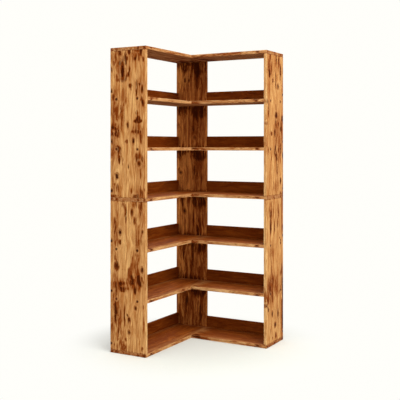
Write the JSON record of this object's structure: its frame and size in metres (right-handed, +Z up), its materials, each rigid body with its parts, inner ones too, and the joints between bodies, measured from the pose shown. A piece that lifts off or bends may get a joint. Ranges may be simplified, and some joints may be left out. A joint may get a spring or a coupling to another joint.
{
  "type": "corner shelf unit",
  "caption": "Tall L-shaped corner shelf unit in rustic solid wood: open-backed wings with through boards, end panels in two halves, a corner panel and low back rails.",
  "frame": {"origin": "on the floor, under the middle of the unit's square footprint; the room's corner is at -X +Y", "axes": "+Z up; the right wing runs along +X with its back in the plane of greatest Y; the left wing runs along -Y with its back in the plane of least X"},
  "size_m": [0.86, 0.86, 2],
  "materials": {
    "panel_wood": "oiled, figured upright grain with dark knots",
    "board_wood": "oiled, grain along the board",
    "rail_wood": "oiled, grain along the rail",
    "corner_wood": "oiled, upright grain",
    "screw_metal": "blackened"
  },
  "bodies": {
    "root": {"left_end_panel_lower": "panel_wood", "left_end_panel_upper": "panel_wood", "right_end_panel_lower": "panel_wood", "right_end_panel_upper": "panel_wood", "corner_panel_lower": "corner_wood", "corner_panel_upper": "corner_wood", "left_bottom_board": "board_wood", "left_shelf_1": "board_wood", "left_shelf_2": "board_wood", "left_middle_board": "board_wood", "left_shelf_4": "board_wood", "left_shelf_5": "board_wood", "left_top_board": "board_wood", "right_bottom_board": "board_wood", "right_shelf_1": "board_wood", "right_shelf_2": "board_wood", "right_middle_board": "board_wood", "right_shelf_4": "board_wood", "right_shelf_5": "board_wood", "right_top_board": "board_wood", "left_rail_0": "rail_wood", "left_rail_1": "rail_wood", "left_rail_2": "rail_wood", "left_rail_3": "rail_wood", "left_rail_4": "rail_wood", "left_rail_5": "rail_wood", "right_rail_0": "rail_wood", "right_rail_1": "rail_wood", "right_rail_2": "rail_wood", "right_rail_3": "rail_wood", "right_rail_4": "rail_wood", "right_rail_5": "rail_wood", "left_shelf_1_back_screw": "screw_metal", "left_shelf_1_front_screw": "screw_metal", "left_shelf_2_back_screw": "screw_metal", "left_shelf_2_front_screw": "screw_metal", "left_shelf_4_back_screw": "screw_metal", "left_shelf_4_front_screw": "screw_metal", "left_shelf_5_back_screw": "screw_metal", "left_shelf_5_front_screw": "screw_metal", "right_shelf_1_back_screw": "screw_metal", "right_shelf_1_front_screw": "screw_metal", "right_shelf_2_back_screw": "screw_metal", "right_shelf_2_front_screw": "screw_metal", "right_shelf_4_back_screw": "screw_metal", "right_shelf_4_front_screw": "screw_metal", "right_shelf_5_back_screw": "screw_metal", "right_shelf_5_front_screw": "screw_metal", "left_rail_0_screw": "screw_metal", "left_rail_1_screw": "screw_metal", "left_rail_2_screw": "screw_metal", "left_rail_3_screw": "screw_metal", "left_rail_4_screw": "screw_metal", "left_rail_5_screw": "screw_metal", "right_rail_0_screw": "screw_metal", "right_rail_1_screw": "screw_metal", "right_rail_2_screw": "screw_metal", "right_rail_3_screw": "screw_metal", "right_rail_4_screw": "screw_metal", "right_rail_5_screw": "screw_metal"}
  },
  "joints": []
}
